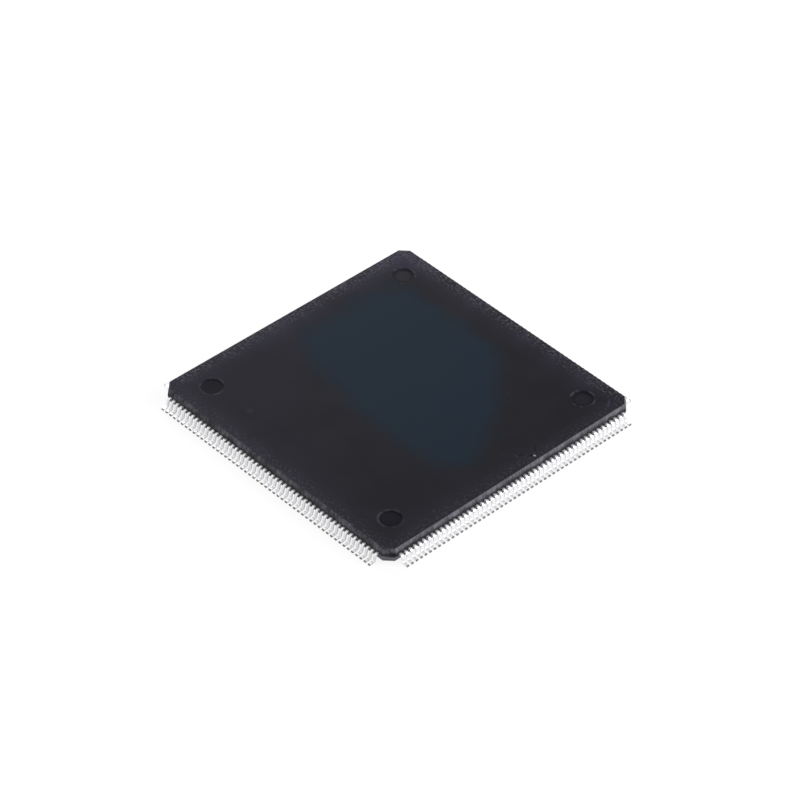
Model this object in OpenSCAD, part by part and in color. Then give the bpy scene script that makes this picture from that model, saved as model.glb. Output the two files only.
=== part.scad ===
// Quad flat pack chip: a thin square moulded body with gull-wing leads on all four sides,
// and inside it the leadframe, the silicon die and the bond wires that join them.
// The origin is the centre of the seating plane, +Z points up, and the front row of leads faces -Y.

/* [Moulded body] */
// Side of the square body, across the parting band
body_side = 28; // [24:0.5:34]
// Thickness of the moulded body
body_t = 1.4; // [1.35:0.05:1.6]
// Height of the body's underside above the seating plane
standoff = 0.05; // [0.05:0.01:0.15]
// Draft of the side faces, in degrees from vertical
draft = 13; // [8:1:15]
// Leg of each corner chamfer, at the parting band
corner_chamfer = 0.8; // [0.5:0.05:1]
// Flat along the top and bottom edges
edge_break = 0.08; // [0.02:0.01:0.1]

/* [Ejector pin marks] */
// Diameter of each round mark
mark_d = 2; // [1.5:0.1:2.5]
// Depth of each mark
mark_depth = 0.1; // [0.05:0.01:0.15]
// Distance of each mark's centre from the two sides next to it
mark_inset = 3; // [2.5:0.1:4]

/* [Outer leads] */
// Distance from one lead to the next
lead_pitch = 0.5; // [0.4, 0.5, 0.65, 0.8]
// Width of an outer lead
lead_w = 0.22; // [0.17:0.01:0.27]
// Thickness of the leadframe strip
lead_t = 0.127; // [0.1:0.001:0.15]
// Distance from the body's side to the lead tips
lead_reach = 1; // [0.95:0.05:1.3]
// Flat length of a lead before its upper bend
shoulder = 0.15; // [0.1:0.01:0.2]
// Flat length of a lead's foot
foot_flat = 0.45; // [0.4:0.01:0.5]
// Inside radius of both bends
bend_r = 0.1; // [0.08:0.01:0.12]
// Side length kept free of leads at each corner
corner_free = 1; // [0.9:0.1:1.5]

/* [Inner leads] */
// Length of a lead that runs straight into the body before the fan
anchor = 0.5; // [0.3:0.1:1]
// Gap between the die pad and the inner tips
tip_clearance = 0.9; // [0.5:0.1:1.5]
// Gap between two inner tips
tip_gap = 0.09; // [0.08:0.01:0.1]
// Space kept beside each end of a row of inner tips, for the tie bar
tip_corner_free = 0.5; // [0.4:0.1:0.8]

/* [Lock tape] */
// Width of the tape that holds the inner leads level
tape_w = 1; // [0.5:0.1:1.5]
// Thickness of the tape
tape_t = 0.05; // [0.04:0.01:0.08]
// Distance of the tape's outer edge from the body's side
tape_inset = 4.5; // [3.5:0.1:5]

/* [Die pad] */
// Border of the die pad around the die
pad_border = 0.6; // [0.4:0.1:1]
// Depth of the die pad below the leads
downset = 0.24; // [0.2:0.01:0.3]
// Width of the tie bars that run to the corners
tie_bar_w = 0.3; // [0.2:0.05:0.35]
// Run of a tie bar between the pad's corner and its downset bend
bar_lead_in = 0.4; // [0.3:0.1:0.8]

/* [Die] */
// Side of the square silicon die
die_side = 8.4; // [6:0.2:9]
// Thickness of the die
die_t = 0.28; // [0.2:0.01:0.3]
// Thickness of the adhesive under the die
attach_t = 0.025; // [0.02:0.005:0.04]
// Border of adhesive around the die
attach_border = 0.1; // [0.05:0.01:0.2]

/* [Bond wires] */
// Thickness of a bond wire
wire_d = 0.025; // [0.02:0.001:0.03]
// Height of a wire's neck above the die
neck_h = 0.12; // [0.1:0.01:0.15]
// Centreline radius of the bend at the top of a loop
loop_r = 0.08; // [0.05:0.01:0.1]
// Distance of the bond pads from the die's edge
pad_inset = 0.1; // [0.08:0.01:0.15]
// Distance of the end pads from the die's corners
pad_corner_free = 0.5; // [0.4:0.1:0.8]
// Distance of each wire's stitch from the lead's inner tip
stitch_inset = 0.2; // [0.15:0.05:0.3]

/* [Hidden] */

// Straight steps that stand for each bend of a lead, and for the bend of a wire
bend_steps = 5;
loop_steps = 3;
// How far a cut runs past the face that it opens
over = 1;
// Share of a pitch that rounding may take from the count of leads
count_slack = 0.001;

// Heights
body_top = standoff + body_t;
lead_z = standoff + body_t / 2;
lead_top = lead_z + lead_t / 2;
lead_bottom = lead_z - lead_t / 2;
pad_top = lead_top - downset;
attach_top = pad_top + attach_t;
die_top = attach_top + die_t;

// Distances from the centre
half_side = body_side / 2;
corner_face = (body_side - corner_chamfer) / sqrt(2);
pad_half = die_side / 2 + pad_border;
pad_corner = pad_half * sqrt(2);
tip_ring = pad_half + tip_clearance;
stitch_ring = tip_ring + stitch_inset;
bond_ring = die_side / 2 - pad_inset;
tape_outer = half_side - tape_inset;

// Rows: an even count, so that the middle of a side falls between two leads
leads_per_side = 2 * floor((half_side - corner_free) / lead_pitch + count_slack);
tip_pitch = 2 * (tip_ring - tip_corner_free) / leads_per_side;
tip_w = tip_pitch - tip_gap;
bond_pitch = (die_side - 2 * pad_corner_free) / (leads_per_side - 1);
stitch_share = stitch_inset / (half_side - anchor - tip_ring);

// Lead bends: the leg is the inner tangent of the two bends' centrelines
upper_centre = [shoulder, lead_bottom - bend_r];
lower_centre = [lead_reach - foot_flat, lead_t + bend_r];
between = upper_centre - lower_centre;
lean = atan2(between.y, -between.x) + asin((2 * bend_r + lead_t) / norm(between));

// Wire loop: the centre of the bend sits over the neck's top
crest = die_top + neck_h;

// Points along an arc, from angle a to angle b
function arc(centre, r, a, b, steps) =
    [for (k = [0:steps]) let (t = a + (b - a) * k / steps) centre + r * [cos(t), sin(t)]];

// Place of lead i along its row, counted in pitches from the middle
function step_of(i) = i - (leads_per_side - 1) / 2;

// Plan of one lead before it is formed: straight through the body's side, then a taper to its tip
function blank(i) =
    let (
        x = step_of(i) * lead_pitch,
        tip_x = step_of(i) * tip_pitch,
        outer = half_side + lead_reach + over,
        knee = half_side - anchor
    )
    [
        [x - lead_w / 2, -outer],
        [x + lead_w / 2, -outer],
        [x + lead_w / 2, -knee],
        [tip_x + tip_w / 2, -tip_ring],
        [tip_x - tip_w / 2, -tip_ring],
        [x - lead_w / 2, -knee]
    ];

// Section of a formed lead, out from the body's side and up from the seating plane
function lead_section() = concat(
    [[-half_side, lead_top]],
    arc(upper_centre, bend_r + lead_t, 90, 90 - lean, bend_steps),
    arc(lower_centre, bend_r, 270 - lean, 270, bend_steps),
    [[lead_reach, lead_t], [lead_reach, 0]],
    arc(lower_centre, bend_r + lead_t, 270, 270 - lean, bend_steps),
    arc(upper_centre, bend_r, 90 - lean, 90, bend_steps),
    [[-half_side, lead_bottom]]
);

// Section of the moulded body across two opposite faces that stand apart by twice the half width
function body_section(half) =
    let (
        mould_h = body_top - lead_top,
        at_top = half - mould_h * tan(draft),
        at_break = half - (mould_h - edge_break) * tan(draft),
        right = [
            [at_top - edge_break, standoff],
            [at_break, standoff + edge_break],
            [half, lead_bottom],
            [half, lead_top],
            [at_break, body_top - edge_break],
            [at_top - edge_break, body_top]
        ],
        last = len(right) - 1
    )
    concat(right, [for (k = [0:last]) [-right[last - k].x, right[last - k].y]]);

// Section of a tie bar from inside the pad, up its downset bend and out to the given end
function tie_bar_section(end) =
    let (bend = pad_corner + bar_lead_in)
    [
        [pad_half, pad_top - lead_t],
        [bend, pad_top - lead_t],
        [bend + downset, lead_bottom],
        [end, lead_bottom],
        [end, lead_top],
        [bend + downset, lead_top],
        [bend, pad_top],
        [pad_half, pad_top]
    ];

// Section of a wire loop: up the neck, over the bend and down to the lead's top
function wire_section(span) =
    let (
        centre = [loop_r, crest],
        outer = loop_r + wire_d / 2,
        inner = loop_r - wire_d / 2,
        to_stitch = [span - loop_r, crest - lead_top],
        dip = atan2(to_stitch.y, to_stitch.x) + asin(loop_r / norm(to_stitch)),
        over_bend = arc(centre, outer, 180, 90 - dip, loop_steps),
        under_bend = arc(centre, inner, 90 - dip, 180, loop_steps),
        high = over_bend[loop_steps],
        low = under_bend[0]
    )
    concat(
        [[-wire_d / 2, die_top]],
        over_bend,
        [
            [high.x + (high.y - lead_top) / tan(dip), lead_top],
            [low.x + (low.y - lead_top) / tan(dip), lead_top]
        ],
        under_bend,
        [[wire_d / 2, die_top]]
    );

// Four copies of the children, a quarter turn apart
module four_turns() {
    for (turn = [0:90:270]) rotate(turn) children();
}

// Centred square plate from one height to another
module plate(side, low, high) {
    translate([-side / 2, -side / 2, low]) cube([side, side, high - low]);
}

// Outlines of one row's leads, facing -Y
module row_blanks() {
    for (i = [0:leads_per_side - 1]) polygon(blank(i));
}

// One row of formed leads, turned from the front to its side: the flat blanks, where they lie
// inside the bent sheet
module lead_row(turn) {
    color("gainsboro") rotate(turn) intersection() {
        translate([0, -half_side, 0]) rotate([90, 0, -90])
            linear_extrude(body_side, center = true) polygon(lead_section());
        linear_extrude(body_top) row_blanks();
    }
}

// Die pad with its four tie bars, which end at the given distance from the centre
module pad_and_bars(end) {
    plate(2 * pad_half, pad_top - lead_t, pad_top);
    four_turns() rotate(45) rotate([90, 0, 0])
        linear_extrude(tie_bar_w, center = true) polygon(tie_bar_section(end));
}

module die_pad() {
    color("darkgoldenrod") pad_and_bars(corner_face);
}

module die_attach() {
    color("lightgray") plate(die_side + 2 * attach_border, pad_top, attach_top);
}

module silicon_die() {
    color("slategray") plate(die_side, attach_top, die_top);
}

// Square ring of tape on top of the inner leads and the tie bars
module lock_tape() {
    color("orange") difference() {
        plate(2 * tape_outer, lead_top, lead_top + tape_t);
        plate(2 * (tape_outer - tape_w), lead_top - over, lead_top + over);
    }
}

// Loop from the die's pad i to the inner tip of lead i
module bond_wire(i) {
    start = [step_of(i) * bond_pitch, -bond_ring];
    stitch_x = step_of(i) * (tip_pitch + (lead_pitch - tip_pitch) * stitch_share);
    way = [stitch_x, -stitch_ring] - start;
    translate(start) rotate(atan2(way.y, way.x)) rotate([90, 0, 0])
        linear_extrude(wire_d, center = true) polygon(wire_section(norm(way)));
}

// One row of wires, turned from the front to its side
module bond_wires(turn) {
    color("gold") rotate(turn)
        for (i = [0:leads_per_side - 1]) bond_wire(i);
}

// Round marks that the mould's ejector pins leave in the top and the underside
module ejector_marks() {
    place = half_side - mark_inset;
    four_turns() translate([place, place]) {
        translate([0, 0, body_top - mark_depth]) cylinder(d = mark_d, h = over, $fn = 64);
        translate([0, 0, standoff + mark_depth - over]) cylinder(d = mark_d, h = over, $fn = 64);
    }
}

// Drafted block: one prism across each pair of sides and each pair of corners
module drafted_block() {
    intersection_for (eighth = [0:3]) rotate(45 * eighth) rotate([90, 0, 0])
        linear_extrude(2 * body_side, center = true)
            polygon(body_section(eighth % 2 == 0 ? half_side : corner_face));
}

// Moulding that fills every space around the parts that it seals in
module package_body() {
    color([0.18, 0.18, 0.2]) difference() {
        drafted_block();
        ejector_marks();
        four_turns() translate([0, 0, lead_bottom]) linear_extrude(lead_t) row_blanks();
        pad_and_bars(corner_face + over);
        die_attach();
        silicon_die();
        lock_tape();
        four_turns() bond_wires(0);
    }
}

package_body();
lead_row(0);  // lead_row_front
lead_row(90);  // lead_row_right
lead_row(180);  // lead_row_back
lead_row(270);  // lead_row_left
die_pad();
die_attach();
silicon_die();
lock_tape();
bond_wires(0);  // bond_wires_front
bond_wires(90);  // bond_wires_right
bond_wires(180);  // bond_wires_back
bond_wires(270);  // bond_wires_left
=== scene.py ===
"""Quad flat pack chip: its moulded body, its formed leads, the parts sealed inside it, and a plain studio.

Sizes are in metres. The origin is the centre of the seating plane, +Z points up, and the front row of
leads faces -Y.
"""

import functools
import math

import bmesh
import bpy
from bpy.props import FloatProperty, FloatVectorProperty, IntProperty, PointerProperty
from mathutils import Matrix, Vector, noise


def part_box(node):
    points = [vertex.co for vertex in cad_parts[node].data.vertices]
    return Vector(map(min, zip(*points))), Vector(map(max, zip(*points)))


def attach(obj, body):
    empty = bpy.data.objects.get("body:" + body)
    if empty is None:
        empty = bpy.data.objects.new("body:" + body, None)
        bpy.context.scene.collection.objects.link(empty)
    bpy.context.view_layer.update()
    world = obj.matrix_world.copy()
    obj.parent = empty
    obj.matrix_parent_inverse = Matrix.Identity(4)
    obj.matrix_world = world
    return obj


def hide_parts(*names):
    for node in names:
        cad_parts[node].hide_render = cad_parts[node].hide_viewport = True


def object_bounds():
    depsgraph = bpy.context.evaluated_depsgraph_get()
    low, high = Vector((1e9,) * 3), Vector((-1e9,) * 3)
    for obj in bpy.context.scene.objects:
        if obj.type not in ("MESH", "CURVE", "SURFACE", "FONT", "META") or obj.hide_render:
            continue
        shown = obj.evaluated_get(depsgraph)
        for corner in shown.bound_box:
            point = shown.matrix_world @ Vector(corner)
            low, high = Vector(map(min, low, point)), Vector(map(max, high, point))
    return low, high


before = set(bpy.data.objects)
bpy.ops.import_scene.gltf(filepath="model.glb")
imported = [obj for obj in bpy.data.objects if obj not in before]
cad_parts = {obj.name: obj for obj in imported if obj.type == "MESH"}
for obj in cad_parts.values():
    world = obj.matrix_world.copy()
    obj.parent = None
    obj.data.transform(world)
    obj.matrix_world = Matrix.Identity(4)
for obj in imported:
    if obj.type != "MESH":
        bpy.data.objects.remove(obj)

bl_info = {
    "name": "Quad flat pack chip",
    "version": (1, 0, 0),
    "blender": (4, 5, 0),
    "location": "3D View > Sidebar > Chip",
    "description": "Moulds the body, forms the leads and gives each part of a quad flat pack its finish",
    "category": "Object",
}

MM = 0.001
SIDES = ("front", "right", "back", "left")
CAD_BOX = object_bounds()
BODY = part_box("package_body")
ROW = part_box("lead_row_front")
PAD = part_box("die_pad")
# Places of the moulded body's three materials
FACES, FLANKS, PIN_FACES = 0, 1, 2


def length(name, description, default, high=0.05):
    """A size property in metres."""
    return FloatProperty(name=name, description=description, default=default, min=0.0, max=high,
                         precision=6, unit="LENGTH", subtype="DISTANCE")


def colour(name, description, default):
    """A colour property."""
    return FloatVectorProperty(name=name, description=description, default=default, size=3,
                               min=0.0, max=1.0, subtype="COLOR")


# ---------------------------------------------------------------- values that a user would change


class ChipBodySizes(bpy.types.PropertyGroup):
    """Sizes of the moulded body."""

    side: length("Side", "Side of the square body across the parting band", BODY[1].x - BODY[0].x)
    underside: length("Underside", "Height of the body's underside above the board", BODY[0].z)
    top: length("Top", "Height of the body's top face above the board", BODY[1].z)
    band: length("Parting band", "Height of the upright band where the mould halves meet", 0.127 * MM)
    draft: FloatProperty(name="Draft", description="Lean of the side faces from upright",
                         default=math.radians(13), min=0.0, max=math.radians(20),
                         unit="ROTATION", subtype="ANGLE")
    corner: length("Corner chamfer", "Leg of each corner chamfer at the parting band", 0.8 * MM)
    edge: length("Edge rounding", "Width of the rounding along the top and bottom edges", 0.08 * MM)
    relief: length("Parting relief", "Step by which the metal at the parting band stands proud", 0.003 * MM)
    mark: length("Ejector mark", "Diameter of each round ejector mark", 2.0 * MM)
    mark_depth: length("Ejector mark depth", "Depth of each ejector mark", 0.1 * MM)
    mark_inset: length("Ejector mark inset", "Distance of each mark's centre from the two sides next to it",
                       3.0 * MM)
    mark_slope: length("Ejector mark slope", "Run of the sloping wall of each mark", 0.12 * MM)
    mark_rim: length("Ejector mark rim", "Width of the rounded rim of each mark", 0.04 * MM)


class ChipLeadSizes(bpy.types.PropertyGroup):
    """Sizes of the formed leads."""

    count: IntProperty(name="Leads a side", description="Number of leads in each row", default=52, min=2)
    pitch: length("Pitch", "Distance from one lead to the next", 0.5 * MM)
    width: length("Width", "Width of an outer lead", 0.22 * MM)
    thickness: length("Thickness", "Thickness of the leadframe strip", 0.127 * MM)
    shoulder: length("Shoulder", "Flat length of a lead before its upper bend", 0.15 * MM)
    foot: length("Foot", "Flat length of a lead's foot", 0.45 * MM)
    bend: length("Bend radius", "Inside radius of both bends", 0.1 * MM)
    bend_steps: IntProperty(name="Bend steps", description="Flat steps in each bend", default=5,
                            min=2, max=12)
    anchor: length("Anchor", "Straight length inside the body before the fan", 0.5 * MM)
    tip_gap: length("Tip gap", "Gap between two inner tips", 0.09 * MM)
    tip_row: length("Tip row", "Width of a row of inner tips", 10.4 * MM)
    sway: length("Sway", "Greatest sideways drift of a foot from its place", 0.006 * MM)


class ChipFinishes(bpy.types.PropertyGroup):
    """Colours of the parts."""

    moulding: colour("Moulding", "Filled epoxy of the top and the underside", (0.0074, 0.0069, 0.0100))
    # Besides specks and scuffs, the rim colour is painted sheen along the back and left rims of the top and
    # towards its left corners
    rim: colour("Rim", "Paler epoxy along the rims of the top and the underside", (0.030, 0.029, 0.050))
    # Besides rubs and lint, the scraped colour is a painted highlight on the lips of the ejector marks and,
    # along the back and left rims, partly painted glints
    scraped_and_glint: colour("Scraped epoxy", "Pale epoxy where a rim or a spot was rubbed", (0.074, 0.073, 0.081))
    scratch: colour("Scratch", "Bright bruise beside the small chip in the top", (0.20, 0.20, 0.21))
    # The flanks' epoxy is paler than the top's, partly as painted sheen on the sides
    flank: colour("Flanks", "Epoxy of the drafted sides", (0.078, 0.0765, 0.090))
    # Painted shade along the parting line, also laid along the top and bottom edges of the flanks
    parting: colour("Parting line", "Darker epoxy along the parting line", (0.010, 0.0095, 0.013))
    pin_face: colour("Ejector marks", "Epoxy pressed smooth by the ejector pins", (0.0048, 0.0041, 0.0080))
    # Painted sheen from the light behind, in the middle of the two marks at the back
    pin_back_sheen: colour("Dull marks", "Epoxy in the middle of the marks at the back", (0.0130, 0.0118, 0.0160))
    cool_field: colour("Cool field", "Faint cool cast in the middle of the top", (0.0049, 0.0118, 0.0212))
    tin: colour("Tin", "Matt tin plating of the outer leads", (0.86, 0.857, 0.885))
    # Also spread over the end of each foot, where it is painted shadow under the tip
    cut_metal_and_tip_shadow: colour("Cut metal", "Bare sheared ends of the leads", (0.22, 0.215, 0.21))
    copper: colour("Copper alloy", "Bare leadframe inside the body", (0.62, 0.36, 0.22))
    tarnish: colour("Tarnish", "Brown clouds on the bare leadframe", (0.16, 0.09, 0.06))
    oxide: colour("Oxide", "Sheared ends of the tie bars", (0.034, 0.031, 0.029))
    silver: colour("Silver adhesive", "Silver-filled die attach", (0.60, 0.60, 0.58))
    silicon: colour("Silicon", "Finished face of the die", (0.075, 0.085, 0.105))
    circuits: colour("Circuits", "Violet clouds over the die's circuitry", (0.10, 0.075, 0.12))
    tape: colour("Lock tape", "Polyimide tape over the inner leads", (0.62, 0.26, 0.045))
    gold: colour("Gold", "Bond wires", (0.90, 0.62, 0.22))


class ChipStudio(bpy.types.PropertyGroup):
    """Camera, floor and lights."""

    azimuth: FloatProperty(name="Azimuth", description="Turn of the camera round the chip from its front",
                           default=math.radians(46.127), unit="ROTATION", subtype="ANGLE")
    elevation: FloatProperty(name="Elevation", description="Rise of the camera above the board",
                             default=math.radians(40.993), unit="ROTATION", subtype="ANGLE")
    roll: FloatProperty(name="Roll", description="Turn of the camera about its own line of sight",
                        default=math.radians(1.1555), unit="ROTATION", subtype="ANGLE")
    distance: length("Distance", "Distance from the camera to the point it looks at", 0.3115, high=5.0)
    aim: FloatVectorProperty(name="Aim", description="Point on the board that the camera looks at",
                             default=(-0.00032, 0.00067, 0.0), size=3, unit="LENGTH", subtype="TRANSLATION",
                             precision=6)
    lens: FloatProperty(name="Focal length", description="Focal length of the camera in millimetres",
                        default=166.42, min=1.0)
    floor: colour("Floor", "White paper under the chip", (0.95, 0.95, 0.95))
    floor_glow: FloatProperty(name="Floor glow", description="Share of plain white that shows on the floor",
                              default=0.84, min=0.0, max=1.0, subtype="FACTOR")
    sky: FloatProperty(name="Surround", description="Light from the white surround", default=0.68, min=0.0)
    key: FloatProperty(name="Side light", description="Power of the soft light at the right",
                       default=1.05, min=0.0, unit="POWER")
    back: FloatProperty(name="Back light", description="Power of the soft light behind",
                        default=0.08, min=0.0, unit="POWER")


# ---------------------------------------------------------------- shader nodes


def feed(tree, socket, value):
    """Gives a socket a value, or a link where another socket is given."""
    if isinstance(value, bpy.types.NodeSocket):
        tree.links.new(value, socket)
    else:
        socket.default_value = value


def add(tree, kind, inputs=None, **settings):
    """One shader node with its inputs and settings."""
    node = tree.nodes.new("ShaderNode" + kind)
    for name, value in settings.items():
        setattr(node, name, value)
    for name, value in (inputs or {}).items():
        feed(tree, node.inputs[name], value)
    return node


def calc(tree, operation, *values):
    """One Math node on one to three values."""
    return add(tree, "Math", dict(enumerate(values)), operation=operation).outputs[0]


def total(tree, *values):
    """Values added in turn."""
    return functools.reduce(lambda so_far, value: calc(tree, "ADD", so_far, value), values)


def product(tree, *values):
    """Values multiplied in turn."""
    return functools.reduce(lambda so_far, value: calc(tree, "MULTIPLY", so_far, value), values)


def less(tree, value, taken):
    """A value with another taken from it."""
    return calc(tree, "SUBTRACT", value, taken)


def size_of(tree, value):
    """A value without its sign."""
    return calc(tree, "ABSOLUTE", value)


def ease(tree, value, low, high, at_low=0.0, at_high=1.0):
    """A smooth step of a value between two bounds."""
    return add(tree, "MapRange", {"Value": value, "From Min": low, "From Max": high, "To Min": at_low,
                                  "To Max": at_high}, interpolation_type="SMOOTHSTEP").outputs[0]


def clouds(tree, vector, scale, detail, roughness=0.5, distortion=0.0):
    """Value of a noise texture, its scale in features a metre."""
    return add(tree, "TexNoise", {"Vector": vector, "Scale": scale, "Detail": detail, "Roughness": roughness,
                                  "Distortion": distortion}).outputs[0]


def axes(tree, vector):
    """The X, Y and Z of a vector."""
    return add(tree, "SeparateXYZ", {"Vector": vector}).outputs[:]


def rgba(value, times=1.0):
    """A colour with full alpha, made darker or paler by a factor."""
    return (*(times * part for part in value), 1.0)


def shade(tree, factor, first, second):
    """A colour between two colours."""
    return add(tree, "Mix", {0: factor, 6: first, 7: second}, data_type="RGBA").outputs[2]


def lay(tree, base, tint, *masks):
    """A tint laid over a base colour through masks that are multiplied together."""
    return shade(tree, product(tree, *masks), base, tint)


def new_group(name, inputs, outputs):
    """A shader node group: its tree, the sockets that it is given and the sockets that it fills."""
    tree = bpy.data.node_groups.new(name, "ShaderNodeTree")
    for in_out, sockets in (("INPUT", inputs), ("OUTPUT", outputs)):
        for label, kind in sockets.items():
            tree.interface.new_socket(name=label, in_out=in_out, socket_type="NodeSocket" + kind)
    return tree, tree.nodes.new("NodeGroupInput").outputs, tree.nodes.new("NodeGroupOutput").inputs


def place_group(tree, name, **values):
    """One use of a group; underscores stand for the spaces of its socket names."""
    node = tree.nodes.new("ShaderNodeGroup")
    node.node_tree = bpy.data.node_groups[name]
    for label, value in values.items():
        feed(tree, node.inputs[label.replace("_", " ")], value)
    return node.outputs


def make_fine_grain():
    """Spark-eroded or plated grain: a height and a few bright specks, at a given grain size."""
    tree, given, made = new_group("fine_grain", {"Vector": "Vector", "Grain": "Float"},
                                  {"Height": "Float", "Specks": "Float"})
    scale = calc(tree, "DIVIDE", 1.0, given["Grain"])
    coarse = clouds(tree, given["Vector"], scale, 3.0, roughness=0.6)
    pits = add(tree, "TexVoronoi", {"Vector": given["Vector"], "Scale": product(tree, scale, 1.7)},
               feature="SMOOTH_F1").outputs[0]
    feed(tree, made["Height"], total(tree, product(tree, coarse, 0.7), product(tree, pits, 0.3)))
    feed(tree, made["Specks"], ease(tree, coarse, 0.62, 0.74))


def make_tone_drift():
    """Slow cloudy change of tone over a part, from 0 to 1."""
    tree, given, made = new_group("tone_drift", {"Vector": "Vector", "Size": "Float"}, {"Tone": "Float"})
    cloud = clouds(tree, given["Vector"], calc(tree, "DIVIDE", 1.0, given["Size"]), 4.0, roughness=0.55,
                   distortion=0.4)
    feed(tree, made["Tone"], ease(tree, cloud, 0.3, 0.7))


def make_rim_band_and_wear():
    """Band along the rim of a chamfered square, from 0 inside to 1 at the rim, with its worn spots."""
    tree, given, made = new_group(
        "rim_band_and_wear", {"Vector": "Vector", "Half side": "Float", "Corner": "Float", "Width": "Float"},
        {"Rim": "Float", "Rub": "Float", "Hollow": "Float"})
    x, y, _ = axes(tree, given["Vector"])
    across, along = size_of(tree, x), size_of(tree, y)
    to_side = less(tree, given["Half side"], calc(tree, "MAXIMUM", across, along))
    to_corner = less(tree, given["Corner"], product(tree, total(tree, across, along), math.sqrt(0.5)))
    inward = calc(tree, "DIVIDE", calc(tree, "MINIMUM", to_side, to_corner), given["Width"])
    rim = ease(tree, inward, 1.0, 0.0)
    broken = clouds(tree, given["Vector"], 4200.0, 3.0, roughness=0.7)
    feed(tree, made["Rim"], rim)
    feed(tree, made["Rub"], product(tree, rim, ease(tree, broken, 0.50, 0.64)))
    feed(tree, made["Hollow"], product(tree, rim, ease(tree, broken, 0.47, 0.36)))


def make_lint():
    """Sparse pale flecks of dust, from 0 to 1."""
    tree, given, made = new_group("lint", {"Vector": "Vector", "Spacing": "Float"}, {"Flecks": "Float"})
    cells = add(tree, "TexVoronoi", {"Vector": given["Vector"], "Randomness": 1.0,
                                     "Scale": calc(tree, "DIVIDE", 1.0, given["Spacing"])}).outputs
    lot = add(tree, "SeparateColor", {"Color": cells["Color"]}).outputs[0]
    feed(tree, made["Flecks"], product(tree, ease(tree, cells["Distance"], 0.055, 0.02),
                                       calc(tree, "GREATER_THAN", lot, 0.9)))


def make_front_quarter():
    """1 over the front quarter of the body and 0 over the other three."""
    tree, given, made = new_group("front_quarter", {"Vector": "Vector"}, {"Front": "Float"})
    x, y, _ = axes(tree, given["Vector"])
    ahead = less(tree, product(tree, y, -1.0), size_of(tree, x))
    feed(tree, made["Front"], ease(tree, ahead, -0.3 * MM, 0.3 * MM))


def make_mark_distance():
    """Distance from the nearest of four points, given the one at the back on the right."""
    tree, given, made = new_group("mark_distance", {"Vector": "Vector", "Middle": "Vector"},
                                  {"Distance": "Float"})
    fold = add(tree, "VectorMath", {0: given["Vector"]}, operation="ABSOLUTE").outputs[0]
    feed(tree, made["Distance"],
         add(tree, "VectorMath", {0: fold, 1: given["Middle"]}, operation="DISTANCE").outputs["Value"])


def new_material(name, **settings):
    """A material with its surface shader and object coordinates; settings go to the shader's own sockets."""
    material = bpy.data.materials.new(name)
    material.use_nodes = True
    tree = material.node_tree
    surface = tree.nodes["Principled BSDF"]
    for label, value in settings.items():
        surface.inputs[label.replace("_", " ")].default_value = value
    return material, tree, surface, add(tree, "TexCoord").outputs["Object"]


def dress(tree, surface, base, rough, height, depth):
    """Gives a surface its colour, its roughness and the relief of a height over it."""
    bump = add(tree, "Bump", {"Height": height, "Strength": 1.0, "Distance": depth}).outputs[0]
    for label, value in (("Base Color", base), ("Roughness", rough), ("Normal", bump)):
        feed(tree, surface.inputs[label], value)


def scuff(tree, place, centre, long, wide, angle):
    """Mask of a short mark on the top face: its centre, its half length, its half width and its turn."""
    turned = add(tree, "Mapping", {"Vector": place, "Location": centre, "Rotation": (0.0, 0.0, angle),
                                   "Scale": (long, wide, long)}, vector_type="TEXTURE").outputs[0]
    reach = add(tree, "VectorMath", {0: turned}, operation="LENGTH").outputs["Value"]
    return ease(tree, reach, 1.4, 0.6)


def from_mark(tree, place, body, level):
    """Distance from the middle of the nearest ejector mark at the given height."""
    middle = body.side / 2 - body.mark_inset
    return place_group(tree, "mark_distance", Vector=place, Middle=(middle, middle, level))["Distance"]


def seen_directly(tree):
    """1 where the camera, a mirror or glass looks at a surface, and 0 where it only lights others."""
    path = add(tree, "LightPath").outputs
    return calc(tree, "MAXIMUM", path["Is Camera Ray"],
                calc(tree, "MAXIMUM", path["Is Glossy Ray"], path["Is Transmission Ray"]))


def cool_cast(tree, x, y, wander):
    """Mask of the field in the middle of the top: six soft sides, with a wandering outline."""
    reach = None
    # Each side by the direction in degrees that it faces and by its distance in millimetres
    for facing, away in ((180, 11.4), (90, 10.6), (37, 8.7), (0, 11.2), (259, 4.3), (-75, 6.4)):
        turn = math.radians(facing)
        side = less(tree, total(tree, product(tree, x, math.cos(turn)), product(tree, y, math.sin(turn))),
                    away * MM)
        reach = side if reach is None else calc(tree, "SMOOTH_MAX", reach, side, 4.0 * MM)
    reach = total(tree, reach, product(tree, less(tree, wander, 0.5), 2.2 * MM))
    return ease(tree, reach, 1.0 * MM, -1.7 * MM)


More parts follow.
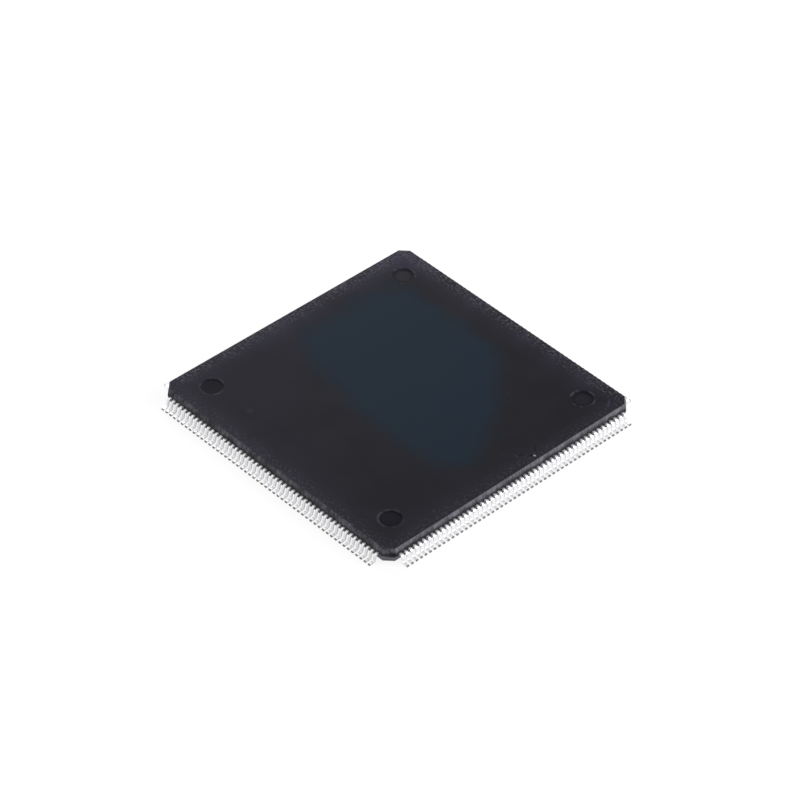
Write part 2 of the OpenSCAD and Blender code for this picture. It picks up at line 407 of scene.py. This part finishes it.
def make_moulding(body, finishes):
    """Matt filled epoxy of the top and the underside, with mottled rims, painted sheen towards the back and
    the left, a faint cool field and scuffs.
    """
    material, tree, surface, place = new_material("matt_epoxy", Specular_IOR_Level=0.04)
    grain = place_group(tree, "fine_grain", Vector=place, Grain=0.11 * MM)
    drift = place_group(tree, "tone_drift", Vector=place, Size=4.5 * MM)["Tone"]
    run = (body.top - body.underside - body.band) / 2 * math.tan(body.draft)
    flat, cut = body.side / 2 - run, (body.side - body.corner) * math.sqrt(0.5) - run
    rim, edge, line = (place_group(tree, "rim_band_and_wear", Vector=place, Half_side=flat, Corner=cut, Width=wide)
                       for wide in (3.1 * MM, 1.7 * MM, 0.24 * MM))
    flecks = place_group(tree, "lint", Vector=place, Spacing=2.1 * MM)["Flecks"]
    front = place_group(tree, "front_quarter", Vector=place)["Front"]
    wander = clouds(tree, place, 420.0, 3.0)
    x, y, z = axes(tree, place)
    pale, scraped_and_glint = rgba(finishes.rim), rgba(finishes.scraped_and_glint)
    dark, bright = rgba(finishes.moulding, 0.3), rgba(finishes.scratch)
    base = shade(tree, drift, rgba(finishes.moulding, 0.88), rgba(finishes.moulding, 1.16))
    # Painted sheen: the rim is paler along the back and the left, most of all in the corner between them,
    # and the whole face is a little paler towards the corner between the left and the front
    back_left, back_right = less(tree, y, x), total(tree, x, y)
    far_sheen_and_wear = ease(tree, back_left, -1.5 * MM, 2.5 * MM, 0.2, 0.45)
    painted_sheen = total(tree, product(tree, rim["Rim"], far_sheen_and_wear, ease(tree, wander, 0.35, 0.65, 0.36, 0.82)),
                 ease(tree, back_left, 21.2 * MM, 25.0 * MM, 0.0, 0.34),
                 ease(tree, back_right, 2.0 * MM, -19.0 * MM, 0.0, 0.10))
    base = lay(tree, base, pale, painted_sheen)
    base = lay(tree, base, pale, grain["Specks"], 0.10)
    upper = calc(tree, "GREATER_THAN", z, (body.top + body.underside) / 2)
    base = lay(tree, base, rgba(finishes.cool_field), cool_cast(tree, x, y, wander), upper, 0.93)
    # Rubbed and hollow spots near the rim, stronger along the back and the left, where the pale ones are
    # partly painted glints;
    # and a fine line at the rim, pale at the front and dark elsewhere
    worn = ease(tree, far_sheen_and_wear, 0.2, 0.45, 0.28, 0.85)
    base = lay(tree, base, scraped_and_glint, edge["Rub"], worn)
    base = lay(tree, base, dark, edge["Hollow"], worn)
    base = lay(tree, base, rgba(finishes.moulding, 0.4), line["Rim"], ease(tree, front, 0.0, 1.0, 0.55, 0.0))
    base = lay(tree, base, pale, line["Rim"], front, 0.5)
    # Pale broken lips round the four ejector marks, a burr with a painted highlight on it, and lint
    away, radius = from_mark(tree, place, body, body.top), body.mark / 2
    base = lay(tree, base, scraped_and_glint, ease(tree, away, radius + 0.22 * MM, radius + 0.04 * MM),
               ease(tree, away, radius - 0.09 * MM, radius - 0.01 * MM),
               ease(tree, clouds(tree, place, 1700.0, 2.0), 0.44, 0.62, 0.0, 0.30))
    base = lay(tree, base, scraped_and_glint, flecks, 0.35)
    # A small chip beside the right-hand edge, with a scrape behind it, and a few faint scuffs: each by its
    # centre, half length and half width in millimetres, its turn, its tint and how strongly it shows
    dent = scuff(tree, place, (13.23 * MM, 2.82 * MM, body.top), 0.20 * MM, 0.14 * MM, 0.8)
    base = lay(tree, base, dark, dent)
    for centre_x, centre_y, long, wide, angle, tint, strength in (
            (12.80, 3.62, 0.40, 0.07, 2.3, dark, 0.8),
            (13.39, 2.97, 0.12, 0.10, 0.3, bright, 1.0),
            (12.62, 2.15, 0.30, 0.09, 1.2, dark, 0.7),
            (12.44, 1.82, 0.22, 0.09, 0.2, pale, 0.5),
            (12.70, -7.80, 0.10, 0.08, 0.5, pale, 0.8),
            (10.00, 10.74, 0.36, 0.10, 1.83, scraped_and_glint, 0.35),
            (12.90, 12.20, 0.50, 0.10, 2.2, pale, 0.6),
            (-6.50, -10.70, 0.30, 0.28, 0.0, pale, 0.25)):
        centre = (centre_x * MM, centre_y * MM, body.top)
        base = lay(tree, base, tint, scuff(tree, place, centre, long * MM, wide * MM, angle), strength)
    rough = total(tree, 0.56, product(tree, grain["Height"], 0.12))
    rough = less(tree, rough, product(tree, edge["Rim"], 0.06))
    dress(tree, surface, base, rough, less(tree, grain["Height"], product(tree, dent, 3.0)), 0.004 * MM)
    return material


def make_flank(body, finishes):
    """Drafted sides: a paler painted highlight away from the parting line and painted shade along it,
    streaked along the way the mould opens.
    """
    material, tree, surface, place = new_material("flank_epoxy", Specular_IOR_Level=0.1)
    grain = place_group(tree, "fine_grain", Vector=place, Grain=0.09 * MM)
    drift = place_group(tree, "tone_drift", Vector=place, Size=0.8 * MM)["Tone"]
    front = place_group(tree, "front_quarter", Vector=place)["Front"]
    height = axes(tree, place)[2]
    parting, half = (body.top + body.underside) / 2, (body.top - body.underside) / 2
    from_parting = size_of(tree, less(tree, height, parting))
    lower = calc(tree, "LESS_THAN", height, parting)
    # The painted shade along the parting line is narrower below and at the front, and its border wanders
    spread = total(tree, product(tree, from_parting, total(tree, 1.0, lower)),
                   product(tree, front, 0.10 * MM), product(tree, less(tree, drift, 0.5), 0.16 * MM))
    open_part = ease(tree, spread, 0.15 * MM, 0.50 * MM)
    near_rim = ease(tree, total(tree, from_parting, product(tree, lower, 0.08 * MM)),
                    half - 0.07 * MM, half - 0.01 * MM)
    streak = add(tree, "Mapping", {"Vector": place, "Scale": (1.0, 1.0, 0.12)}).outputs[0]
    drag = clouds(tree, streak, 5200.0, 3.0, roughness=0.65)
    mixed = product(tree, total(tree, ease(tree, drag, 0.38, 0.62), drift), 0.5)
    # The front flank is painted darker than the others, as shade away from the side light, and is more
    # uneven
    low_tone_front_shaded = shade(tree, front, rgba(finishes.flank, 0.5), rgba(finishes.flank, 0.1))
    # Streaks from the low tone up to a paler painted highlight, pale specks, and a paler lower half that is
    # painted reflection of the floor
    pale = shade(tree, mixed, low_tone_front_shaded, rgba(finishes.flank, 1.5))
    pale = lay(tree, pale, rgba(finishes.flank, 2.5), grain["Specks"], 0.4)
    pale = lay(tree, pale, rgba(finishes.flank, 2.2), lower, 0.5)
    # Painted shade of the parting line, lighter at the front
    parting_shade = shade(tree, front, rgba(finishes.parting), rgba(finishes.flank, 0.3))
    base = shade(tree, open_part, parting_shade, pale)
    # Darker along the top and bottom edges, less at the front; at the bottom edge this is painted contact
    # shadow
    base = lay(tree, base, rgba(finishes.parting), near_rim, ease(tree, front, 0.0, 1.0, 0.6, 0.1))
    dress(tree, surface, base, total(tree, 0.45, product(tree, mixed, 0.15)),
          total(tree, grain["Height"], drag), 0.005 * MM)
    return material


def make_pin_face(body, finishes):
    """Smooth dark floor of an ejector mark; the two marks at the back get a paler painted sheen in their
    middles, with painted shade left near their walls.
    """
    material, tree, surface, place = new_material("pin_pressed_epoxy", Specular_IOR_Level=0.02)
    grain = place_group(tree, "fine_grain", Vector=place, Grain=0.16 * MM)["Height"]
    drift = place_group(tree, "tone_drift", Vector=place, Size=1.1 * MM)["Tone"]
    x, y, _ = axes(tree, place)
    base = shade(tree, drift, rgba(finishes.pin_face, 0.75), rgba(finishes.pin_face, 1.3))
    # Painted sheen over the marks at the back, fading towards the walls, which keeps them in painted shade
    behind = ease(tree, less(tree, y, product(tree, x, 0.35)), -8.0 * MM, 16.0 * MM)
    away = from_mark(tree, place, body, body.top - body.mark_depth)
    base = lay(tree, base, rgba(finishes.pin_back_sheen), behind, ease(tree, away, 0.80 * MM, 0.45 * MM, 0.3, 1.0))
    dress(tree, surface, base, total(tree, 0.38, product(tree, grain, 0.15)), grain, 0.002 * MM)
    return material


def make_tin(leads, finishes):
    """Matt tin outside, bare copper alloy inside and silver where the wires are bonded, with painted shade
    on some faces of the outer leads.
    """
    material, tree, surface, place = new_material("matt_tin", Metallic=1.0)
    grain = place_group(tree, "fine_grain", Vector=place, Grain=0.03 * MM)["Height"]
    drift = place_group(tree, "tone_drift", Vector=place, Size=0.5 * MM)["Tone"]
    x, y, _ = axes(tree, place)
    across, along = size_of(tree, x), size_of(tree, y)
    # 1 in the front and back rows, which run along X, and 1 in the rows at the sides, which run along Y
    row_x = calc(tree, "LESS_THAN", across, along)
    row_y = less(tree, 1.0, row_x)
    # A value of its own for each lead, from its place along its row
    travel = total(tree, product(tree, x, row_x), product(tree, y, row_y))
    which = calc(tree, "FLOOR", calc(tree, "DIVIDE", travel, leads.pitch))
    side = total(tree, product(tree, calc(tree, "SIGN", x), 3.0), calc(tree, "SIGN", y))
    own = add(tree, "TexWhiteNoise", {"Vector": add(tree, "CombineXYZ", {"X": which, "Y": side}).outputs[0]},
              noise_dimensions="3D").outputs["Value"]
    base = lay(tree, rgba(finishes.tin), rgba(finishes.tin, 0.8), drift, 0.35)
    base = lay(tree, base, rgba(finishes.tin, 0.72), own, 0.25)
    facing_x, facing_y, _ = axes(tree, add(tree, "NewGeometry").outputs["True Normal"])
    facing_x, facing_y = size_of(tree, facing_x), size_of(tree, facing_y)
    # Painted shade: darker bends and legs in the rows at the sides
    base = lay(tree, base, rgba(finishes.tin, 0.5), ease(tree, facing_x, 0.05, 0.5), row_y, 0.7)
    # Sheared side walls, made duller in the front and back rows by painted shade; in the rows at the sides
    # they keep plain tin
    wall = total(tree, product(tree, facing_x, row_x), product(tree, facing_y, row_y))
    sheared = shade(tree, row_x, rgba(finishes.tin), rgba(finishes.tin, 0.72))
    base = lay(tree, base, sheared, ease(tree, wall, 0.8, 0.95))
    # Bare metal at the sheared tips, spread over the end of each foot as painted shadow under the tip; bare
    # metal inside the body, and silver on the last of the inner ends
    outward = calc(tree, "MAXIMUM", across, along)
    tip = ease(tree, outward, CAD_BOX[1].y - 0.14 * MM, CAD_BOX[1].y - 0.05 * MM)
    base = lay(tree, base, rgba(finishes.cut_metal_and_tip_shadow), tip)
    base = lay(tree, base, rgba(finishes.copper), calc(tree, "LESS_THAN", outward, BODY[1].y))
    base = lay(tree, base, rgba(finishes.silver), calc(tree, "LESS_THAN", outward, 1.0 * MM - ROW[1].y))
    rough = total(tree, 0.34, product(tree, grain, 0.16), product(tree, own, 0.06), product(tree, tip, 0.15))
    dress(tree, surface, base, rough, grain, 0.0012 * MM)
    return material


def make_copper(finishes):
    """Rolled copper alloy of the leadframe: fine lines along the strip, and darker tarnish."""
    material, tree, surface, place = new_material("bare_copper_alloy", Metallic=1.0)
    lines = add(tree, "Mapping", {"Vector": place, "Scale": (1.0, 14.0, 1.0)}).outputs[0]
    rolled = clouds(tree, lines, 2600.0, 3.0, roughness=0.6)
    tarnish = place_group(tree, "tone_drift", Vector=place, Size=2.2 * MM)["Tone"]
    base = lay(tree, rgba(finishes.copper), rgba(finishes.copper, 0.7), rolled, 0.5)
    base = lay(tree, base, rgba(finishes.tarnish), tarnish, 0.5)
    # Oxide on the sheared ends of the tie bars, which show at the corners of the body
    x, y, _ = axes(tree, place)
    outward = total(tree, size_of(tree, x), size_of(tree, y))
    ends = calc(tree, "GREATER_THAN", outward, 2 * PAD[1].x - 0.3 * MM)
    base = lay(tree, base, rgba(finishes.oxide), ends)
    dress(tree, surface, base, total(tree, 0.3, product(tree, tarnish, 0.25)), rolled, 0.0015 * MM)
    return material


def make_silver(finishes):
    """Silver-filled adhesive: flakes in a soft paste."""
    material, tree, surface, place = new_material("silver_adhesive")
    grain = place_group(tree, "fine_grain", Vector=place, Grain=0.03 * MM)["Height"]
    flakes = add(tree, "TexVoronoi", {"Vector": place, "Scale": 26000.0}).outputs["Color"]
    glint = add(tree, "SeparateColor", {"Color": flakes}).outputs[0]
    base = shade(tree, glint, rgba(finishes.silver, 0.6), rgba(finishes.silver))
    feed(tree, surface.inputs["Metallic"], ease(tree, glint, 0.2, 0.9, 0.45, 0.95))
    dress(tree, surface, base, ease(tree, glint, 0.0, 1.0, 0.65, 0.35), grain, 0.004 * MM)
    return material


def make_silicon(finishes):
    """Polished die face: faint blocks of circuitry under glass, and a darker ring for the pads."""
    material, tree, surface, place = new_material("silicon_face", Metallic=0.35)
    cells = add(tree, "Mapping", {"Vector": place, "Scale": (900.0,) * 3}).outputs[0]
    blocks = add(tree, "TexBrick", {
        "Vector": cells, "Color1": rgba(finishes.silicon), "Color2": rgba(finishes.silicon, 1.9),
        "Mortar": rgba(finishes.silicon, 0.5), "Mortar Size": 0.03,
        "Brick Width": 1.3, "Row Height": 0.8}).outputs
    drift = place_group(tree, "tone_drift", Vector=place, Size=1.5 * MM)["Tone"]
    base = lay(tree, blocks["Color"], rgba(finishes.circuits), drift, 0.4)
    x, y, _ = axes(tree, place)
    outward = calc(tree, "MAXIMUM", size_of(tree, x), size_of(tree, y))
    ring = calc(tree, "GREATER_THAN", outward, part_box("silicon_die")[1].x - 0.16 * MM)
    base = lay(tree, base, rgba(finishes.silicon, 0.8), ring)
    dress(tree, surface, base, ease(tree, drift, 0.0, 1.0, 0.08, 0.16), blocks["Fac"], 0.0006 * MM)
    return material


def make_tape(finishes):
    """Amber polyimide: glossy film with slight waves and adhesive clouding."""
    material, tree, surface, place = new_material("amber_polyimide")
    cloud = place_group(tree, "tone_drift", Vector=place, Size=1.3 * MM)["Tone"]
    waves = place_group(tree, "fine_grain", Vector=place, Grain=0.2 * MM)["Height"]
    base = shade(tree, cloud, rgba(finishes.tape, 0.75), rgba(finishes.tape))
    dress(tree, surface, base, ease(tree, cloud, 0.0, 1.0, 0.18, 0.32), waves, 0.005 * MM)
    return material


def make_gold(finishes):
    """Drawn gold wire: bright, with a fine grain."""
    material, tree, surface, place = new_material("drawn_gold", Metallic=1.0)
    grain = place_group(tree, "fine_grain", Vector=place, Grain=0.01 * MM)["Height"]
    base = shade(tree, grain, rgba(finishes.gold, 0.8), rgba(finishes.gold))
    dress(tree, surface, base, ease(tree, grain, 0.2, 0.8, 0.12, 0.26), grain, 0.0004 * MM)
    return material


# ---------------------------------------------------------------- mesh work


def cap_of(made):
    """The one face that an extrusion or spin has moved on."""
    return next(g for g in made if isinstance(g, bmesh.types.BMFace))


def push(bm, face, vec):
    """Extrudes an end face and moves it on; its edges go along, so that no face stays behind inside."""
    cap = cap_of(bmesh.ops.extrude_face_region(bm, geom=[face, *face.edges, *face.verts])["geom"])
    bmesh.ops.translate(bm, verts=cap.verts[:], vec=vec)
    return cap


def swing(bm, face, centre, angle, steps):
    """Carries an end face round a bend about the X direction."""
    return cap_of(bmesh.ops.spin(bm, geom=[face, *face.edges, *face.verts], cent=centre, axis=(1, 0, 0),
                                 dvec=(0, 0, 0), angle=angle, steps=steps, use_merge=False,
                                 use_normal_flip=False, use_duplicate=False)["geom_last"])


def finish_mesh(bm, name, materials, smooth_below=0.0):
    """Writes a bmesh to an object that rides on the chip, with edges under the given angle smooth."""
    mesh = bpy.data.meshes.new(name)
    if smooth_below:
        for face in bm.faces:
            face.smooth = True
        for edge in bm.edges:
            edge.smooth = len(edge.link_faces) == 2 and edge.calc_face_angle() < smooth_below
    bm.to_mesh(mesh)
    bm.free()
    for material in materials:
        mesh.materials.append(material)
    made = bpy.data.objects.new(name, mesh)
    bpy.context.scene.collection.objects.link(made)
    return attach(made, "root")


def drafted_half(bm, face, rise, run):
    """Draws a flat face in evenly on all sides and lifts it: one half of the mould's cavity."""
    bmesh.ops.inset_region(bm, faces=[face], thickness=run, depth=0.0, use_even_offset=True,
                           use_boundary=True)
    bmesh.ops.translate(bm, verts=face.verts[:], vec=(0, 0, rise))
    return face


def sink_marks(bm, face, body, up):
    """Opens a flat face for four round recesses, with rounded rims and smooth floors."""
    level = face.verts[0].co.z
    rim_edges = face.edges[:]
    bmesh.ops.delete(bm, geom=[face], context="FACES_ONLY")
    place = body.side / 2 - body.mark_inset
    rings = []
    for x in (-place, place):
        for y in (-place, place):
            ring = bmesh.ops.create_circle(bm, cap_ends=False, radius=body.mark / 2, segments=48,
                                           matrix=Matrix.Translation((x, y, level)))["verts"]
            rings.append(list(dict.fromkeys(e for v in ring for e in v.link_edges)))
    bmesh.ops.triangle_fill(bm, use_beauty=True, use_dissolve=False, normal=(0, 0, up),
                            edges=rim_edges + [e for ring in rings for e in ring])
    for ring in rings:
        made = bmesh.ops.extrude_edge_only(bm, edges=ring)["geom"]
        verts = [g for g in made if isinstance(g, bmesh.types.BMVert)]
        floor_edges = [g for g in made
                       if isinstance(g, bmesh.types.BMEdge) and all(v in verts for v in g.verts)]
        bmesh.ops.translate(bm, verts=verts, vec=(0, 0, -up * body.mark_depth))
        middle = sum((v.co for v in verts), Vector()) / len(verts)
        bmesh.ops.scale(bm, verts=verts, vec=(1 - body.mark_slope * 2 / body.mark,) * 2 + (1,),
                        space=Matrix.Translation(-middle))
        for floor in bmesh.ops.contextual_create(bm, geom=floor_edges)["faces"]:
            floor.material_index = PIN_FACES
        bmesh.ops.bevel(bm, geom=ring, offset=body.mark_rim, offset_type="OFFSET", affect="EDGES",
                        segments=2, profile=0.5, material=-1, clamp_overlap=True)


# ---------------------------------------------------------------- operators


class CHIP_OT_studio(bpy.types.Operator):
    """Set up the camera, the white floor and the soft lights"""

    bl_idname = "chip.studio"
    bl_label = "Studio"

    def execute(self, context):
        studio = context.scene.chip_studio
        camera = bpy.data.cameras.new("camera")
        camera.lens = studio.lens
        camera.sensor_width = 36.0
        camera.clip_start, camera.clip_end = 0.01, 20.0
        seen_by = bpy.data.objects.new("camera", camera)
        turn = (Matrix.Rotation(studio.azimuth, 4, "Z")
                @ Matrix.Rotation(math.pi / 2 - studio.elevation, 4, "X")
                @ Matrix.Rotation(studio.roll, 4, "Z"))
        back = turn.to_3x3() @ Vector((0, 0, studio.distance))
        seen_by.matrix_world = Matrix.Translation(Vector(studio.aim) + back) @ turn
        context.scene.collection.objects.link(seen_by)
        context.scene.camera = seen_by
        context.scene.view_settings.view_transform = "Standard"
        self.lay_floor(context, studio)
        self.light(context, "side_light", studio.key, place=(0.20, 0.17, 0.085), size=0.20)
        self.light(context, "back_light", studio.back, place=(-0.080, 0.052, 0.052), size=0.07)
        self.surround(context, studio)
        return {"FINISHED"}

    def lay_floor(self, context, studio):
        """White paper under the chip: plain white mixed with what the lights give it."""
        half_side = 3.0
        bm = bmesh.new()
        bmesh.ops.create_grid(bm, x_segments=1, y_segments=1, size=half_side)
        mesh = bpy.data.meshes.new("floor")
        bm.to_mesh(mesh)
        bm.free()
        floor = bpy.data.objects.new("floor", mesh)
        context.scene.collection.objects.link(floor)
        material, tree, surface, place = new_material("white_paper", Roughness=0.9, Specular_IOR_Level=0.0)
        fibres = clouds(tree, place, 900.0, 4.0)
        feed(tree, surface.inputs["Base Color"],
             lay(tree, rgba(studio.floor), rgba(studio.floor, 0.97), fibres, 0.1))
        glow = add(tree, "Emission", {"Color": (1, 1, 1, 1), "Strength": 1.0})
        mixed = add(tree, "MixShader", {0: product(tree, seen_directly(tree), studio.floor_glow),
                                        1: surface.outputs[0], 2: glow.outputs[0]})
        feed(tree, tree.nodes["Material Output"].inputs["Surface"], mixed.outputs[0])
        mesh.materials.append(material)

    def light(self, context, name, power, place, size):
        """One square soft light aimed at the middle of the chip."""
        lamp = bpy.data.lights.new(name, "AREA")
        lamp.energy = power
        lamp.size = size
        hung = bpy.data.objects.new(name, lamp)
        hung.matrix_world = (Matrix.Translation(place)
                             @ Vector(place).to_track_quat("Z", "Y").to_matrix().to_4x4())
        hung.visible_camera = False
        context.scene.collection.objects.link(hung)

    def surround(self, context, studio):
        """Even light from all round, which cameras and mirrors see as white."""
        world = bpy.data.worlds.new("surround")
        context.scene.world = world
        world.use_nodes = True
        tree = world.node_tree
        sky = tree.nodes["Background"]
        sky.inputs["Color"].default_value = (1, 1, 1, 1)
        strength = add(tree, "MapRange", {"Value": seen_directly(tree), "To Min": studio.sky, "To Max": 1.0})
        feed(tree, sky.inputs["Strength"], strength.outputs[0])


class CHIP_OT_finishes(bpy.types.Operator):
    """Make the effects that several materials share"""

    bl_idname = "chip.finishes"
    bl_label = "Shared finishes"

    def execute(self, context):
        for make in (make_fine_grain, make_tone_drift, make_rim_band_and_wear, make_lint, make_front_quarter,
                     make_mark_distance):
            make()
        return {"FINISHED"}


class CHIP_OT_moulding(bpy.types.Operator):
    """Mould the body: parting band, drafted halves, rounded edges and ejector marks"""

    bl_idname = "chip.moulding"
    bl_label = "Moulded body"

    def execute(self, context):
        body, finishes = context.scene.chip_body, context.scene.chip_finishes
        rise = (body.top - body.underside - body.band) / 2
        run = rise * math.tan(body.draft)
        parting = body.underside + rise + body.band / 2
        bm = bmesh.new()
        bmesh.ops.create_grid(bm, x_segments=1, y_segments=1, size=body.side / 2,
                              matrix=Matrix.Translation((0, 0, body.underside + rise)))
        bmesh.ops.bevel(bm, geom=bm.verts[:], offset=body.corner, offset_type="OFFSET", affect="VERTICES",
                        segments=1, profile=0.5, material=-1)
        high = push(bm, bm.faces[:][0], (0, 0, body.band))
        low = next(f for f in bm.faces if all(v.co.z < parting for v in f.verts))
        high = drafted_half(bm, high, rise, run)
        low = drafted_half(bm, low, -rise, run)
        for face in bm.faces:
            face.material_index = FACES if face in (high, low) else FLANKS
        band = [v for v in bm.verts if abs(v.co.z - parting) < body.band]
        inward = 1 - body.relief * 2 / body.side
        bmesh.ops.scale(bm, verts=band, vec=(inward, inward, 1))
        rims = [*high.edges, *low.edges]
        sink_marks(bm, high, body, 1)
        sink_marks(bm, low, body, -1)
        bmesh.ops.bevel(bm, geom=rims, offset=body.edge, offset_type="OFFSET", affect="EDGES", segments=3,
                        profile=0.5, material=-1, clamp_overlap=True)
        bmesh.ops.recalc_face_normals(bm, faces=bm.faces[:])
        skin = finish_mesh(bm, "moulded_body", [make_moulding(body, finishes), make_flank(body, finishes),
                                                make_pin_face(body, finishes)])
        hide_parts("package_body")
        return {"FINISHED"}


class CHIP_OT_leads(bpy.types.Operator):
    """Form the four rows of gull-wing leads, with their fanned inner ends"""

    bl_idname = "chip.leads"
    bl_label = "Formed leads"

    def execute(self, context):
        leads, finishes = context.scene.chip_leads, context.scene.chip_finishes
        body = context.scene.chip_body
        tin = make_tin(leads, finishes)
        blank = self.form_one(leads, body)
        for quarter, side in enumerate(SIDES):
            bm = bmesh.new()
            self.repeat(bm, blank, leads, quarter)
            bmesh.ops.rotate(bm, verts=bm.verts[:], cent=(0, 0, 0),
                             matrix=Matrix.Rotation(quarter * math.pi / 2, 3, "Z"))
            row = finish_mesh(bm, f"leads_{side}", [tin], math.radians(35))
            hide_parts(f"lead_row_{side}")
        bpy.data.meshes.remove(blank)
        return {"FINISHED"}

    def form_one(self, leads, body):
        """One lead of the front row, drawn from its outer tip over both bends to its inner tip."""
        half, t, r = body.side / 2, leads.thickness, leads.bend
        reach, under = -ROW[0].y - half, ROW[1].z - leads.thickness
        # Centres of the upper and the lower bend, outward and up; the leg runs tangent to both bends
        upper = Vector((leads.shoulder, under - r))
        lower = Vector((reach - leads.foot, t + r))
        between = upper - lower
        lean = math.atan2(between.y, -between.x) + math.asin((2 * r + t) / between.length)
        leg = math.sqrt(between.length_squared - (2 * r + t) ** 2)
        bm = bmesh.new()
        section = (Matrix.Translation((0, -half - reach, t / 2)) @ Matrix.Rotation(math.pi / 2, 4, "X")
                   @ Matrix.Diagonal((leads.width, t, 1, 1)))
        bmesh.ops.create_grid(bm, x_segments=1, y_segments=1, size=0.5, matrix=section)
        end = push(bm, bm.faces[:][0], (0, leads.foot, 0))
        end = swing(bm, end, (0, -half - lower.x, lower.y), lean, leads.bend_steps)
        end = push(bm, end, (0, leg * math.cos(lean), leg * math.sin(lean)))
        end = swing(bm, end, (0, -half - upper.x, upper.y), -lean, leads.bend_steps)
        end = push(bm, end, (0, leads.shoulder, 0))
        end = push(bm, end, (0, leads.anchor, 0))
        end = push(bm, end, (0, half - leads.anchor + ROW[1].y, 0))
        tip = leads.tip_row / leads.count - leads.tip_gap
        bmesh.ops.scale(bm, verts=end.verts[:], vec=(tip / leads.width, 1, 1))
        bmesh.ops.recalc_face_normals(bm, faces=bm.faces[:])
        mesh = bpy.data.meshes.new("lead_blank")
        bm.to_mesh(mesh)
        bm.free()
        return mesh

    def repeat(self, bm, blank, leads, quarter):
        """A row of leads along X, each fanned to its own inner tip and with its own slight sway."""
        tip_pitch = leads.tip_row / leads.count
        for i in range(leads.count):
            step = i - (leads.count - 1) / 2
            known = len(bm.verts)
            bm.from_mesh(blank)
            bm.verts.ensure_lookup_table()
            lead = bm.verts[known:]
            bmesh.ops.translate(bm, verts=lead, vec=(step * leads.pitch, 0, 0))
            inner = [v for v in lead if v.co.y > ROW[1].y - leads.tip_gap]
            bmesh.ops.translate(bm, verts=inner, vec=(step * (tip_pitch - leads.pitch), 0, 0))
            # A slow wander along the row, and another one in each row
            spot = Vector((0.37 * step, 7.1 * quarter, 0.5))
            foot = [v for v in lead if v.co.z < leads.thickness * 1.01]
            bmesh.ops.translate(bm, verts=foot, vec=(leads.sway * noise.noise(spot), 0, 0))


class CHIP_OT_inside(bpy.types.Operator):
    """Finish the parts sealed inside: die pad, adhesive, die, tape and bond wires"""

    bl_idname = "chip.inside"
    bl_label = "Parts inside"

    def execute(self, context):
        finishes = context.scene.chip_finishes
        gold = make_gold(finishes)
        worn = {"die_pad": make_copper(finishes), "die_attach": make_silver(finishes),
                "silicon_die": make_silicon(finishes), "lock_tape": make_tape(finishes),
                **{f"bond_wires_{side}": gold for side in SIDES}}
        for name, material in worn.items():
            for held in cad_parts[name].material_slots:
                held.link = "OBJECT"
                held.material = material
        return {"FINISHED"}


class CHIP_PT_sidebar(bpy.types.Panel):
    """The chip's pieces and their values"""

    bl_idname = "CHIP_PT_sidebar"
    bl_label = "Quad flat pack chip"
    bl_space_type = "VIEW_3D"
    bl_region_type = "UI"
    bl_category = "Chip"

    def draw(self, context):
        for operator, values in (("chip.studio", "chip_studio"), ("chip.finishes", "chip_finishes"),
                                 ("chip.moulding", "chip_body"), ("chip.leads", "chip_leads"),
                                 ("chip.inside", None)):
            box = self.layout.box()
            box.operator(operator)
            if values:
                held = getattr(context.scene, values)
                for name in held.__annotations__:
                    box.prop(held, name)


GROUPS = {"chip_body": ChipBodySizes, "chip_leads": ChipLeadSizes, "chip_finishes": ChipFinishes,
          "chip_studio": ChipStudio}
CLASSES = (*GROUPS.values(), CHIP_OT_studio, CHIP_OT_finishes, CHIP_OT_moulding, CHIP_OT_leads,
           CHIP_OT_inside, CHIP_PT_sidebar)


def register():
    for cls in CLASSES:
        bpy.utils.register_class(cls)
    for name, group in GROUPS.items():
        setattr(bpy.types.Scene, name, PointerProperty(type=group))


def unregister():
    for name in GROUPS:
        delattr(bpy.types.Scene, name)
    for cls in reversed(CLASSES):
        bpy.utils.unregister_class(cls)


def main():
    """Builds the whole chip."""
    register()
    for operator in (bpy.ops.chip.studio, bpy.ops.chip.finishes, bpy.ops.chip.moulding, bpy.ops.chip.leads,
                     bpy.ops.chip.inside):
        operator()
    bpy.context.view_layer.update()


if __name__ == "__main__":
    main()
